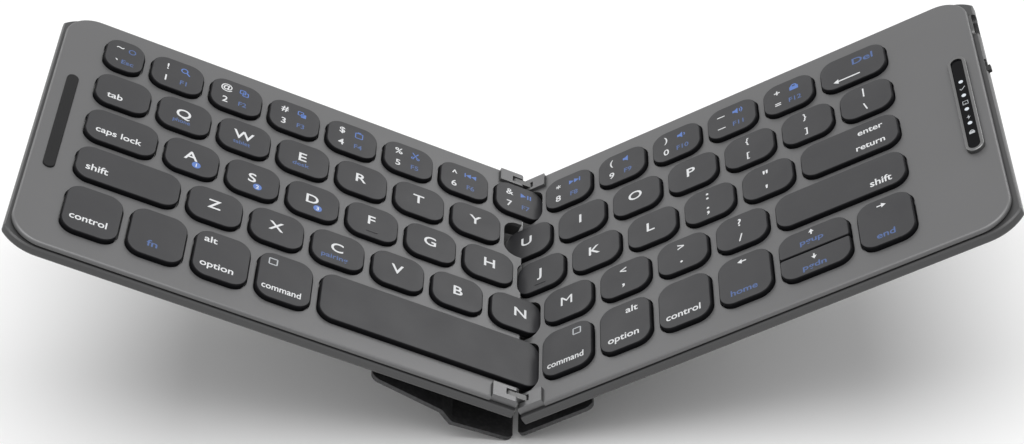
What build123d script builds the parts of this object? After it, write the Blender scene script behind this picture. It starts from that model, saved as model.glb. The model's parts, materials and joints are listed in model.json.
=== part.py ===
from build123d import *
from math import atan2, cos, degrees, hypot, radians, sin
import os

# A folding keyboard in two halves, in millimetres, opened to a shallow V. Each half
# is drawn on its own deck plane: x runs across from the fold line and is negative on
# the left half, y runs to the rear, and z = 0 is the top of the deck.
left, right = -1, 1
ends = (-1, 1)  # front and rear

# Fold: each half turns on its own pin, and short links join the two pins.
wing_raise = 26.97
fold_gap = 0.3
pin_offset = 2.6
pin_height = -0.2
pin_radius = 0.5
pin_length = 4.2
pin_fit = 0.01
link_bore_fit = 0.03
link_thickness = 1.9
link_radius = 0.9
link_clearance = 0.25
link_side_clearance = 0.15
hinge_inset = 3.3
hinge_length = 7.4
hinge_outer_inset = 0.5
hinge_inner_inset = 5.4
hinge_rise = 1.0
hinge_round = 1.0
hinge_clearance = 0.1
hinge_screw_x = 5.6

# Deck plate and tray. Margins run from the deck's edges to the key holes.
left_margin = 10.97
right_margin = 23.2
rear_margin = 6.075
front_margin = 6.85
deck_thickness = 1.1
deck_corner = 8.8
deck_edge = 0.8
body_thickness = 4.4
rim_step = 0.7
left_end_step = 1.05
right_end_step = 1.6
rim_corner_run = 9.6
rim_corner_rise = 4.8
rim_nose = 1.2
rim_chamfer = 0.4
rim_groove = 0.4
seat_inset = 0.5
pocket_inset = 1.7
bottom_round = 1.0
floor_thickness = 0.9
end_wall = 1.0
rail_inset = 7.9

# Keys: the pitches, the widths of the wide keys' holes, and two keys placed from the fold
key_pitch = 17.0
key_bar = 1.55
row_pitch = 15.9
space_row_pitch = 18.4
tilde_width = 11.555
tab_width = 15.755
caps_lock_width = 20.005
left_shift_width = 28.455
delete_width = 19.525
seven_key_x = -1.6
right_modifiers_start = 15.0
hole_depth = 13.65
space_hole_depth = 17.9
hole_corner = 4.6
cap_gap = 0.38
cap_rise = 1.3
cap_sink = 0.6
cap_wall = 1.0
cap_roof = 0.9
cap_edge = 0.45
split_cap_corner = 0.8
notch_relief = 0.35
notch_corner = 4.0
notch_wall = 0.9

# Under the keys
key_travel = 0.9
press_clearance = 0.3
stem_size = 3.0
stem_fit = 0.2
stem_floor_gap = 0.08
stem_min_x = 3.4
stem_inset = 7.2
guide_thickness = 0.55
membrane_thickness = 0.12
dome_gap = 0.03
dome_base_radius = 2.0
dome_top_radius = 1.3
sheet_clearance = 0.1
sheet_lip = 0.8

# Screws, magnets and feet, set in from the deck's edges
screw_end_inset = 6.2
screw_side_inset = 5.0
screw_radius = 0.8
screw_fit = 0.02
screw_clearance = 0.08
screw_head_radius = 1.4
screw_head_height = 0.45
screw_head_recess = 0.5
screw_socket = 0.55
screw_socket_depth = 0.25
screw_tip = -1.4
boss_radius = 2.0
magnet_end_inset = 5.6
magnet_side_inset = 15.4
magnet_size = (5.0, 10.0, 1.8)
foot_end_inset = 10.9
foot_side_inset = 11.4
foot_radius = 4.0
foot_height = 0.8
foot_edge = 0.2

# Bumper on the left deck and indicator on the right deck
strip_end_inset = 5.2
strip_y = 0.5
strip_size = (3.1, 39.3)
strip_rise = 0.5
strip_seat = 0.7
strip_edge = 0.3
inlay_clearance = 0.05
window_end_inset = 5.4
window_size = (3.1, 37.6)
window_rise = 0.8
frame_rim = 0.9
frame_rise = 1.2
frame_edge = 0.3
light_radius = 0.6
light_pitch = 5.85
light_inset = 9.5
light_count = 4
light_rise = 0.02

# Electrics in the right half
battery_end_gap = 1.5
battery_side_gap = 1.15
battery_board_gap = 0.65
battery_top_gap = 0.4
battery_corner = 0.6
board_inner_inset = 10.1
board_outer_inset = 2.0
board_front_gap = 5.0
board_rear_gap = 0.1
board_thickness = 0.8
board_gap = 0.6
board_post_inset = 2.0
port_side_inset = 12.9
port_z = -2.3
port_size = (8.9, 3.1)
port_flat = 0.2
port_wall = 0.3
port_length = 6.3
port_setback = 0.9
port_clearance = 0.1
tongue_size = (6.7, 0.7)
tongue_setback = 0.8
switch_spacing = 18.7
switch_z = -2.2
switch_slot = (5.9, 1.3)
switch_nub = (2.2, 1.0)
switch_proud = 0.9
switch_end_gap = 0.45
switch_fit = 0.15
housing_end_gap = 1.1
housing_length = 5.3
housing_depth = 9.0
housing_top = -1.2
slider_length = 1.6

# Cover boards under the hinge, by the centre line of each board
board_cover = 1.2
cover_corner = 2.2
cover_inset = 2.7
cover_left_path = ((-36.4, -9.2), (-16.4, -12.4), (-12.4, -15.2), (4.1, -14.0))
cover_right_path = ((-4.7, -9.5), (16.4, -9.5))
cover_pad_inset = 9.4
cover_left_pad = (20.0, 33.0)
cover_right_pad = (7.0, 14.5)

# Deck size and key field, from the keys and the margins
key_width = key_pitch - key_bar
left_number_count = 7
number_count = 12
keys_left = (
    seven_key_x
    - (left_number_count - 1) * key_pitch
    - key_width / 2
    - key_bar
    - tilde_width
)
keys_right = keys_left + tilde_width + number_count * key_pitch + key_bar + delete_width
deck_length = {left: left_margin - keys_left, right: keys_right + right_margin}
key_field = (hole_depth + space_hole_depth) / 2 + 3 * row_pitch + space_row_pitch
deck_half_depth = (key_field + front_margin + rear_margin) / 2
number_y = deck_half_depth - rear_margin - hole_depth / 2

# Places that follow from the deck's size
hinge_y = deck_half_depth - hinge_inset
hinge_inner_y = deck_half_depth - hinge_inner_inset
hinge_outer_y = deck_half_depth - hinge_outer_inset
rim_length = {
    left: deck_length[left] + left_end_step,
    right: deck_length[right] + right_end_step,
}
rim_half_depth = deck_half_depth + rim_step
pocket_half_depth = deck_half_depth - pocket_inset
rail_y = deck_half_depth - rail_inset
guide_half_depth = hinge_inner_y - 3 * hinge_clearance
membrane_half_depth = rail_y - sheet_clearance
sheet_end = {left: sheet_lip - keys_left, right: keys_right + sheet_lip}
pivot = {left: -pin_offset, right: pin_offset}
strip_x = deck_length[left] - strip_end_inset
window_x = deck_length[right] - window_end_inset
frame_size = (window_size[0] + 2 * frame_rim, window_size[1] + 2 * frame_rim)
light_first_y = strip_y + window_size[1] / 2 - light_inset
light_places = [(window_x, light_first_y - i * light_pitch) for i in range(light_count)]
magnet_y = magnet_side_inset - deck_half_depth
board_x = (deck_length[right] - board_inner_inset, deck_length[right] - board_outer_inset)
board_y = (magnet_y + magnet_size[1] / 2 + board_front_gap, rail_y - board_rear_gap)
battery_x = (sheet_end[right] + battery_side_gap, board_x[0] - battery_board_gap)
port_x = (
    rim_length[right] - port_setback - port_length,
    rim_length[right] - port_setback,
)
port_y = deck_half_depth - port_side_inset
port_corner = (port_size[1] - port_flat) / 2
switch_y = port_y - switch_spacing
housing_end = deck_length[right] - pocket_inset - housing_end_gap
housing_x = (housing_end - housing_length, housing_end)
slider_x = housing_end - slider_length
nub_y = switch_y - switch_slot[0] / 2 + switch_end_gap + switch_nub[0] / 2
split_stem_y = (space_hole_depth - cap_gap) / 4
cover_half_depth = deck_half_depth - cover_inset
cover_pad_depth = 2 * (deck_half_depth - cover_pad_inset)

# Heights that follow from the sizes above
floor_top = floor_thickness - body_thickness
rim_top = -deck_thickness - rim_groove
cap_bottom = -cap_sink
guide_top = cap_bottom - key_travel - press_clearance
guide_bottom = guide_top - guide_thickness
membrane_top = floor_top + membrane_thickness
stem_bottom = membrane_top + key_travel + stem_floor_gap
battery_height = -deck_thickness - battery_top_gap - floor_top

# Rest pose: the far end of the left cover board stands on the ground plane.
tilt = radians(wing_raise)
tip_x, tip_z = cover_left_path[-1]
pin_rest_x = pin_offset * cos(tilt)
tip_drop = (pin_height - tip_z) * cos(tilt) + (tip_x - pin_offset) * sin(tilt)
pin_rest_z = tip_drop + board_cover / 2


def deck_plane(side):
    """The deck plane of one half, hung on the right-hand pin."""
    across = Vector(cos(tilt), 0, side * sin(tilt))
    normal = Vector(-side * sin(tilt), 0, cos(tilt))
    pin = Vector(pin_rest_x, 0, pin_rest_z)
    origin = pin - across * pin_offset - normal * pin_height
    return Plane(origin=origin, x_dir=across, z_dir=normal)


deck = {left: deck_plane(left), right: deck_plane(right)}
across = {side: Axis(deck[side].origin, deck[side].x_dir * side) for side in deck}
upward = {side: Axis(deck[side].origin, deck[side].z_dir) for side in deck}

def key_run(first, count):
    """Key spans, the two ends across of each hole, from the first key's left end."""
    starts = [first + i * key_pitch for i in range(count)]
    return [(x, x + key_width) for x in starts]


number_row = key_run(keys_left + tilde_width + key_bar, number_count)
top_row = key_run(keys_left + tab_width + key_bar, 13)
home_row = key_run(keys_left + caps_lock_width + key_bar, 11)
bottom_row = key_run(keys_left + left_shift_width + key_bar, 10)
left_modifiers = key_run(keys_left, 4)
right_modifiers = key_run(right_modifiers_start - key_width / 2, 4)
arrow_right = (keys_right - key_width, keys_right)
arrow_pair = (right_modifiers[-1][1] + key_bar, arrow_right[0] - key_bar)
space_span = (left_modifiers[-1][1] + key_bar, right_modifiers[0][0] - key_bar)

top_y = number_y - row_pitch
home_y = top_y - row_pitch
bottom_y = home_y - row_pitch
space_y = bottom_y - space_row_pitch
hole_depths = {space_y: space_hole_depth}


def before(row):
    """The span from the left edge of the keys to a row's first key."""
    return (keys_left, row[0][0] - key_bar)


def after(row):
    """The span from a row's last key to the right edge of the keys."""
    return (row[-1][1] + key_bar, keys_right)


left_keys = {
    "left_number_keys": (number_y, number_row[:left_number_count]),
    "left_top_keys": (top_y, top_row[:6]),
    "left_home_keys": (home_y, home_row[:6]),
    "left_bottom_keys": (bottom_y, bottom_row[:6]),
    "key_tilde": (number_y, [before(number_row)]),
    "key_tab": (top_y, [before(top_row)]),
    "key_caps_lock": (home_y, [before(home_row)]),
    "key_left_shift": (bottom_y, [before(bottom_row)]),
    "key_left_control": (space_y, left_modifiers[0:1]),
    "key_fn": (space_y, left_modifiers[1:2]),
    "key_left_option": (space_y, left_modifiers[2:3]),
    "key_left_command": (space_y, left_modifiers[3:4]),
    "key_space": (space_y, [space_span]),
}
right_keys = {
    "right_number_keys": (number_y, number_row[left_number_count:]),
    "right_top_keys": (top_y, top_row[6:]),
    "right_home_keys": (home_y, home_row[6:]),
    "right_bottom_keys": (bottom_y, bottom_row[6:]),
    "key_delete": (number_y, [after(number_row)]),
    "key_enter": (home_y, [after(home_row)]),
    "key_right_shift": (bottom_y, [after(bottom_row)]),
    "key_right_command": (space_y, right_modifiers[0:1]),
    "key_right_option": (space_y, right_modifiers[1:2]),
    "key_right_control": (space_y, right_modifiers[2:3]),
    "key_arrow_left": (space_y, right_modifiers[3:4]),
    "key_arrow_right": (space_y, [arrow_right]),
}
arrow_pair_keys = [(space_y, [arrow_pair])]
holes = {
    left: list(left_keys.values()),
    right: list(right_keys.values()) + arrow_pair_keys,
}
overhangs = {
    side: [(y, [s]) for y, spans in holes[side] for s in spans if s[0] * s[1] < 0]
    for side in deck
}


def row_depth(y):
    """The depth, front to rear, of the holes in the row at y."""
    return hole_depths.get(y, hole_depth)


def outlines(side, height, rows, grow=0.0, corner=hole_corner):
    """Rounded outlines of key holes, grown all round, on one half at a height."""
    with BuildSketch(deck[side].offset(height)) as sketch:
        for y, spans in rows:
            depth = row_depth(y) + 2 * grow
            for start, end in spans:
                with Locations(((start + end) / 2, y)):
                    RectangleRounded(end - start + 2 * grow, depth, corner + grow)
    return sketch.sketch


def notches(side, height, grow=0.0):
    """Outlines on one half of the room for the other half's overhanging keys."""
    corner = notch_corner - notch_relief
    return outlines(side, height, overhangs[-side], notch_relief + grow, corner)


def bar(side, height, x_range, y_range):
    """A rectangle on one half, its x range measured outward from the fold."""
    with BuildSketch(deck[side].offset(height)) as sketch:
        with Locations((side * sum(x_range) / 2, sum(y_range) / 2)):
            Rectangle(x_range[1] - x_range[0], y_range[1] - y_range[0])
    return sketch.sketch


def panel(side, height, x_range, half_depth, corner):
    """A rectangle from the fold outward, with its two outer corners rounded."""
    with BuildSketch(deck[side].offset(height)) as sketch:
        with Locations((side * sum(x_range) / 2, 0)):
            Rectangle(x_range[1] - x_range[0], 2 * half_depth)
        outer = sketch.vertices().sort_by(Axis.X)[:2]
        if side == right:
            outer = sketch.vertices().sort_by(Axis.X)[2:]
        fillet(outer, radius=corner)
    return sketch.sketch


def tray_outline(side):
    """The tray's outline: each outer corner is an arc that meets the end at a soft angle."""
    length = side * rim_length[side]
    corner_start = side * (rim_length[side] - rim_corner_run)
    with BuildSketch(deck[side].offset(-body_thickness)) as sketch:
        with BuildLine():
            for end in ends:
                edge_y = end * rim_half_depth
                nose = (length, end * (rim_half_depth - rim_corner_rise))
                Line((side * fold_gap / 2, edge_y), (corner_start, edge_y))
                TangentArc((corner_start, edge_y), nose, tangent=(side, 0))
            Line((length, rim_corner_rise - rim_half_depth), nose)
            Line(
                (side * fold_gap / 2, -rim_half_depth),
                (side * fold_gap / 2, rim_half_depth),
            )
        make_face()
        noses = [v for v in sketch.vertices() if abs(v.Y) < rim_half_depth - 0.1]
        fillet(noses, radius=rim_nose)
    return sketch.sketch


def slots(side, height, x, y, size, grow=0.0):
    """An upright slot with round ends, grown all round."""
    with BuildSketch(deck[side].offset(height)) as sketch:
        with Locations((side * x, y)):
            SlotOverall(size[1] + 2 * grow, size[0] + 2 * grow, rotation=90)
    return sketch.sketch


def discs(side, height, places, radius):
    """Round outlines at places measured outward from the fold."""
    with BuildSketch(deck[side].offset(height)) as sketch:
        with Locations([(side * x, y) for x, y in places]):
            Circle(radius)
    return sketch.sketch


hinge_screws = [(hinge_screw_x, end * hinge_y) for end in ends]


def corner_places(side, end_inset, side_inset):
    """Two places at the outer end, set in from the deck's edges, measured outward."""
    x = deck_length[side] - end_inset
    return [(x, end * (deck_half_depth - side_inset)) for end in ends]


def case_screws(side):
    """The two screws at the outer end of one half."""
    return corner_places(side, screw_end_inset, screw_side_inset)


def hinge_y_range(end, inner, outer):
    """A y range at the front or rear hinge."""
    return tuple(sorted((end * inner, end * outer)))


def top_cover(side):
    """Deck plate with the key holes, notches at the fold, and two screw bosses."""
    with BuildPart() as cover:
        x_range = (fold_gap / 2, deck_length[side])
        extrude(
            panel(side, -deck_thickness, x_range, deck_half_depth, deck_corner),
            amount=deck_thickness,
        )
        top_edges = cover.edges().group_by(upward[side])[-1]
        fillet(top_edges.sort_by(across[side])[1:], radius=deck_edge)
        boss_height = -deck_thickness - guide_bottom
        screw_places = case_screws(side)
        bosses = discs(side, guide_bottom, screw_places, boss_radius)
        extrude(bosses, amount=boss_height)
        thread = discs(side, guide_bottom, screw_places, screw_radius + screw_fit)
        extrude(
            thread, amount=screw_tip - guide_bottom + screw_fit, mode=Mode.SUBTRACT
        )
        extrude(
            outlines(side, -deck_thickness, holes[side]),
            amount=2 * deck_thickness,
            mode=Mode.SUBTRACT,
        )
        extrude(
            notches(side, -deck_thickness),
            amount=2 * deck_thickness,
            mode=Mode.SUBTRACT,
        )
        for end in ends:
            y_range = hinge_y_range(end, hinge_inner_y - hinge_clearance, 2 * deck_half_depth)
            hinge_cut = bar(
                side, -deck_thickness, (0, hinge_length + hinge_clearance), y_range
            )
            extrude(hinge_cut, amount=2 * deck_thickness, mode=Mode.SUBTRACT)
        if side == left:
            seat = slots(
                side, -strip_seat, strip_x, strip_y, strip_size, inlay_clearance
            )
            extrude(seat, amount=deck_thickness, mode=Mode.SUBTRACT)
        else:
            opening = slots(
                side, -deck_thickness, window_x, strip_y, window_size, inlay_clearance
            )
            extrude(opening, amount=2 * deck_thickness, mode=Mode.SUBTRACT)
            port_top = port_z + port_size[1] / 2 + port_clearance
            reach = port_size[0] / 2 + port_clearance
            recess = bar(
                side,
                -deck_thickness,
                (port_x[0] - port_clearance, rim_length[right]),
                (port_y - reach, port_y + reach),
            )
            extrude(recess, amount=port_top + deck_thickness, mode=Mode.SUBTRACT)
    return cover


def bottom_cover(side):
    """Tray with a rim, a seat for the deck plate, rails, and walls round the notches."""
    with BuildPart() as tray:
        extrude(tray_outline(side), amount=body_thickness + rim_top)
        bottom_edges = tray.edges().group_by(upward[side])[0]
        fillet(bottom_edges.sort_by(across[side])[1:], radius=bottom_round)
        rim_edges = tray.edges().group_by(upward[side])[-1]
        chamfer(rim_edges.sort_by(across[side])[1:], length=rim_chamfer)
        seat_range = (fold_gap / 2, deck_length[side] - seat_inset)
        seat_half_depth = deck_half_depth - seat_inset
        seat_corner = deck_corner - seat_inset
        extrude(
            panel(side, rim_top, seat_range, seat_half_depth, seat_corner),
            amount=rim_groove,
        )
        pocket_range = (fold_gap / 2 + end_wall, deck_length[side] - pocket_inset)
        pocket_corner = deck_corner - pocket_inset
        extrude(
            panel(side, guide_bottom, pocket_range, pocket_half_depth, pocket_corner),
            amount=body_thickness,
            mode=Mode.SUBTRACT,
        )
        extrude(
            bar(side, floor_top, pocket_range, (-rail_y, rail_y)),
            amount=body_thickness,
            mode=Mode.SUBTRACT,
        )
        extrude(
            notches(side, floor_top, notch_wall),
            amount=-deck_thickness - floor_top,
        )
        beyond_fold = bar(
            side,
            -body_thickness,
            (-rim_length[side], fold_gap / 2),
            (-rim_half_depth, rim_half_depth),
        )
        extrude(beyond_fold, amount=2 * body_thickness, mode=Mode.SUBTRACT)
        extrude(
            notches(side, -body_thickness),
            amount=2 * body_thickness,
            mode=Mode.SUBTRACT,
        )
        extrude(
            outlines(side, guide_top, overhangs[side]),
            amount=body_thickness,
            mode=Mode.SUBTRACT,
        )
        for end in ends:
            y_range = hinge_y_range(end, hinge_inner_y - hinge_clearance, pocket_half_depth)
            hinge_cut = bar(side, floor_top, (0, hinge_length + hinge_clearance), y_range)
            extrude(hinge_cut, amount=body_thickness, mode=Mode.SUBTRACT)
        screw_places = case_screws(side) + hinge_screws
        heads = discs(
            side, -body_thickness, screw_places, screw_head_radius + screw_clearance
        )
        extrude(heads, amount=screw_head_recess, mode=Mode.SUBTRACT)
        shanks = discs(
            side, -body_thickness, screw_places, screw_radius + screw_clearance
        )
        extrude(shanks, amount=body_thickness, mode=Mode.SUBTRACT)
        if side == right:
            port_plane = end_plane(port_x[0] - port_clearance, port_y, port_z)
            with BuildSketch(port_plane):
                RectangleRounded(
                    port_size[0] + 2 * port_clearance,
                    port_size[1] + 2 * port_clearance,
                    port_corner + port_clearance,
                )
            extrude(amount=rim_length[right] - port_x[0] + 1, mode=Mode.SUBTRACT)
            with BuildSketch(end_plane(housing_x[1], switch_y, switch_z)):
                SlotOverall(*switch_slot)
            extrude(amount=rim_length[right] - housing_x[1] + 1, mode=Mode.SUBTRACT)
    return tray


def end_plane(x, y, z):
    """A plane facing out of the right end, its own x running to the rear."""
    place = deck[right]
    origin = place.from_local_coords((x, y, z))
    return Plane(origin=origin, x_dir=place.y_dir, z_dir=place.x_dir)


def sheet(side, bottom, thickness, length, half_depth):
    """A flat sheet in the tray, cut round the notches and their walls."""
    start = fold_gap / 2 + end_wall + sheet_clearance
    with BuildPart() as flat:
        extrude(
            bar(side, bottom, (start, length), (-half_depth, half_depth)),
            amount=thickness,
        )
        extrude(
            notches(side, bottom, notch_wall + sheet_clearance),
            amount=thickness,
            mode=Mode.SUBTRACT,
        )
    return flat


def dome_places(side):
    """The centre of each key's dome, kept clear of the fold."""
    places = []
    for y, spans in holes[side]:
        for start, end in spans:
            middle = (start + end) / 2
            x = side * max(side * middle, stem_min_x)
            if (start, end) == arrow_pair:
                places += [(x, y + split_stem_y), (x, y - split_stem_y)]
            else:
                places.append((x, y))
    return places


def stem_places(side, rows):
    """One stem at each dome, and one more near each end of a wide key."""
    places = []
    for y, spans in rows:
        for start, end in spans:
            middle = (start + end) / 2
            shifts = [0.0]
            reach = (end - start) / 2 - stem_inset
            if reach > 2 * stem_size:
                shifts = [-reach, 0.0, reach]
            for shift in shifts:
                places.append((side * max(side * (middle + shift), stem_min_x), y))
    return places


def all_stem_places(side):
    """Every stem on one half."""
    rows = left_keys.values() if side == left else right_keys.values()
    places = stem_places(side, rows)
    if side == right:
        places += [place for place in dome_places(right) if place not in places]
    return places


def key_plate(side):
    """Guide plate that holds the stems upright."""
    plate = sheet(side, guide_bottom, guide_thickness, sheet_end[side], guide_half_depth)
    with BuildPart() as drilled:
        add(plate.part)
        with BuildSketch(deck[side].offset(guide_bottom)):
            with Locations(all_stem_places(side)):
                Rectangle(stem_size + 2 * stem_fit, stem_size + 2 * stem_fit)
        extrude(amount=guide_thickness, mode=Mode.SUBTRACT)
    return drilled


def domes(side):
    """Rubber domes on the membrane, one under each key."""
    height = stem_bottom - dome_gap - membrane_top
    with BuildPart(deck[side]) as springs:
        with Locations([(x, y, membrane_top) for x, y in dome_places(side)]):
            Cone(
                dome_base_radius,
                dome_top_radius,
                height,
                align=(Align.CENTER, Align.CENTER, Align.MIN),
            )
    return springs


def key_caps(side, rows):
    """Hollow caps with rounded top edges, on square stems."""
    with BuildPart() as caps:
        extrude(outlines(side, cap_bottom, rows, -cap_gap), amount=cap_sink + cap_rise)
        fillet(caps.edges().group_by(upward[side])[-1], radius=cap_edge)
        extrude(
            outlines(side, cap_bottom, rows, -cap_gap - cap_wall),
            amount=cap_sink + cap_rise - cap_roof,
            mode=Mode.SUBTRACT,
        )
        with BuildSketch(deck[side].offset(stem_bottom)):
            with Locations(stem_places(side, rows)):
                Rectangle(stem_size, stem_size)
        extrude(amount=cap_rise - cap_roof - stem_bottom)
    return caps


def split_cap(end):
    """One of the two half-height arrow caps that share a hole."""
    middle = sum(arrow_pair) / 2
    width = arrow_pair[1] - arrow_pair[0]
    cap_depth = (space_hole_depth - 3 * cap_gap) / 2
    cap_y = space_y + end * (cap_depth + cap_gap) / 2
    stem_y = space_y + end * split_stem_y
    with BuildPart() as cap:
        with BuildSketch(deck[right].offset(cap_bottom)) as outline:
            with Locations((middle, space_y)):
                RectangleRounded(
                    width - 2 * cap_gap,
                    space_hole_depth - 2 * cap_gap,
                    hole_corner - cap_gap,
                )
            with Locations((middle, cap_y)):
                Rectangle(width, cap_depth, mode=Mode.INTERSECT)
            inner = outline.vertices().sort_by(Axis.Y)[:2]
            if end < 0:
                inner = outline.vertices().sort_by(Axis.Y)[-2:]
            fillet(inner, radius=split_cap_corner)
        extrude(amount=cap_sink + cap_rise)
        fillet(cap.edges().group_by(upward[right])[-1], radius=cap_edge)
        with BuildSketch(deck[right].offset(cap_bottom)):
            with Locations((middle, cap_y)):
                Rectangle(width - 2 * hole_corner, cap_depth - 2 * cap_wall)
        extrude(amount=cap_sink + cap_rise - cap_roof, mode=Mode.SUBTRACT)
        with BuildSketch(deck[right].offset(stem_bottom)):
            with Locations((middle, stem_y)):
                Rectangle(stem_size, stem_size)
        extrude(amount=cap_rise - cap_roof - stem_bottom)
    return cap


def pivot_plane(side, x, y):
    """A plane facing the rear, centred on a point of the pin line."""
    place = deck[side]
    origin = place.from_local_coords((x, y, pin_height))
    return Plane(origin=origin, x_dir=place.x_dir * -1, z_dir=place.y_dir)


def hinge_blocks(side):
    """Front and rear metal blocks, slotted for the link and bored for the pin."""
    start = fold_gap / 2
    with BuildPart() as blocks:
        for end in ends:
            y_range = hinge_y_range(end, hinge_inner_y, hinge_outer_y)
            extrude(
                bar(side, -deck_thickness, (start, hinge_length), y_range),
                amount=deck_thickness + hinge_rise,
            )
        top_edges = blocks.edges().group_by(upward[side])[-1]
        fold_edges = top_edges.group_by(across[side])[0]
        fillet(fold_edges, radius=hinge_round)
        for end in ends:
            y_range = hinge_y_range(
                end, hinge_inner_y, pocket_half_depth - hinge_clearance
            )
            extrude(
                bar(side, floor_top, (start, hinge_length), y_range),
                amount=-deck_thickness - floor_top,
            )
            half_slot = link_thickness / 2 + link_side_clearance
            slot_y = (end * hinge_y - half_slot, end * hinge_y + half_slot)
            slot_x = (0, pin_offset + link_radius + link_clearance)
            slot_bottom = pin_height - link_radius - link_clearance
            extrude(
                bar(side, slot_bottom, slot_x, slot_y),
                amount=hinge_rise + body_thickness,
                mode=Mode.SUBTRACT,
            )
            with BuildSketch(
                pivot_plane(side, pivot[side], end * hinge_y - pin_length / 2)
            ):
                Circle(pin_radius + pin_fit)
            extrude(amount=pin_length, mode=Mode.SUBTRACT)
        extrude(
            discs(side, floor_top, hinge_screws, screw_radius + screw_fit),
            amount=screw_tip - floor_top + screw_fit,
            mode=Mode.SUBTRACT,
        )
    return blocks


def hinge_pins(side):
    """The two pins of one half, front and rear."""
    with BuildPart() as pins:
        for end in ends:
            with BuildSketch(
                pivot_plane(side, pivot[side], end * hinge_y - pin_length / 2)
            ):
                Circle(pin_radius)
            extrude(amount=pin_length)
    return pins


def hinge_links():
    """Flat links from pin to pin, in line with the left half in the rest pose."""
    with BuildPart() as links:
        for end in ends:
            start_y = end * hinge_y - link_thickness / 2
            with BuildSketch(pivot_plane(left, 0.0, start_y)):
                SlotCenterToCenter(2 * pin_offset, 2 * link_radius)
                with Locations((pin_offset, 0), (-pin_offset, 0)):
                    Circle(pin_radius + link_bore_fit, mode=Mode.SUBTRACT)
            extrude(amount=link_thickness)
    return links


def screws(side):
    """Two case screws and two hinge screws, driven up from below."""
    head_bottom = screw_head_recess - screw_head_height - body_thickness
    screw_places = case_screws(side) + hinge_screws
    with BuildPart() as fasteners:
        extrude(
            discs(side, head_bottom, screw_places, screw_head_radius),
            amount=screw_head_height,
        )
        extrude(
            discs(side, head_bottom, screw_places, screw_radius),
            amount=screw_tip - head_bottom,
        )
        with BuildSketch(deck[side].offset(head_bottom)):
            with Locations([(side * x, y) for x, y in screw_places]):
                RegularPolygon(screw_socket, 6)
        extrude(amount=screw_socket_depth, mode=Mode.SUBTRACT)
    return fasteners


def feet(side):
    """Two flat rubber feet stuck under one half."""
    places = corner_places(side, foot_end_inset, foot_side_inset)
    with BuildPart() as pads:
        extrude(
            discs(side, -body_thickness - foot_height, places, foot_radius),
            amount=foot_height,
        )
        fillet(pads.edges().group_by(upward[side])[0], radius=foot_edge)
    return pads


def magnet(side):
    """Bar magnet at the outer end that holds the halves closed."""
    magnet_x = deck_length[side] - magnet_end_inset
    x_range = (magnet_x - magnet_size[0] / 2, magnet_x + magnet_size[0] / 2)
    y_range = (magnet_y - magnet_size[1] / 2, magnet_y + magnet_size[1] / 2)
    with BuildPart() as slab:
        extrude(bar(side, floor_top, x_range, y_range), amount=magnet_size[2])
    return slab


def side_plane(side):
    """A plane facing the front, for profiles across one half."""
    place = deck[side]
    return Plane(origin=place.origin, x_dir=place.x_dir, z_dir=place.y_dir * -1)


def hinge_cover(side, path, pad):
    """Stiff rounded boards under the fold, carried by a pad on the tray's underside."""
    pad_end = min(z for x, z in path[:2])
    with BuildPart() as cover:
        with BuildSketch(side_plane(side).offset(-cover_pad_depth / 2)) as web:
            with Locations((side * sum(pad) / 2, (pad_end - body_thickness) / 2)):
                Rectangle(pad[1] - pad[0], -body_thickness - pad_end)
        extrude(amount=cover_pad_depth)
        if side == left:
            extrude(under_board(path), amount=cover_pad_depth, mode=Mode.SUBTRACT)
        with BuildSketch(side_plane(side).offset(-cover_half_depth)) as boards:
            for start, end in zip(path, path[1:]):
                run = hypot(end[0] - start[0], end[1] - start[1])
                turn = degrees(atan2(end[1] - start[1], end[0] - start[0]))
                middle = ((start[0] + end[0]) / 2, (start[1] + end[1]) / 2)
                with Locations(middle):
                    SlotCenterToCenter(run, board_cover, rotation=turn)
        extrude(amount=2 * cover_half_depth)
        xs = [x for x, z in path]
        lowest = min(z for x, z in path) - board_cover
        span = max(xs) - min(xs) + board_cover
        with BuildSketch(deck[side].offset(lowest)):
            with Locations(((max(xs) + min(xs)) / 2, 0)):
                RectangleRounded(span, 2 * cover_half_depth, cover_corner)
        extrude(amount=-lowest, mode=Mode.INTERSECT)
    return cover


def under_board(path):
    """The space below the first board, which the pad stays out of."""
    (x0, z0), (x1, z1) = path[:2]
    with BuildSketch(side_plane(left).offset(-cover_pad_depth / 2)) as space:
        with BuildLine():
            Polyline((x0, z0), (x1, z1), (x1, 2 * z1), (x0, 2 * z1), close=True)
        make_face()
    return space.sketch


def bumper_strip():
    """Soft strip let into the left deck, with a rounded top edge."""
    with BuildPart() as strip:
        extrude(
            slots(left, -strip_seat, strip_x, strip_y, strip_size),
            amount=strip_seat + strip_rise,
        )
        fillet(strip.edges().group_by(upward[left])[-1], radius=strip_edge)
    return strip


def indicator_frame():
    """Raised ring round the indicator window."""
    with BuildPart() as ring:
        extrude(slots(right, 0.0, window_x, strip_y, frame_size), amount=frame_rise)
        fillet(ring.edges().group_by(upward[right])[-1], radius=frame_edge)
        extrude(
            slots(right, 0.0, window_x, strip_y, window_size, inlay_clearance),
            amount=frame_rise,
            mode=Mode.SUBTRACT,
        )
    return ring


def indicator_window():
    """Dark window in the ring, bored for the light guides."""
    with BuildPart() as window:
        extrude(
            slots(right, -deck_thickness, window_x, strip_y, window_size),
            amount=deck_thickness + window_rise,
        )
        extrude(
            discs(right, -deck_thickness, light_places, light_radius + inlay_clearance),
            amount=deck_thickness + window_rise,
            mode=Mode.SUBTRACT,
        )
    return window


def indicator_lights():
    """Light guides in the window."""
    with BuildPart() as guides:
        extrude(
            discs(right, -deck_thickness, light_places, light_radius),
            amount=deck_thickness + window_rise + light_rise,
        )
    return guides


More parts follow.
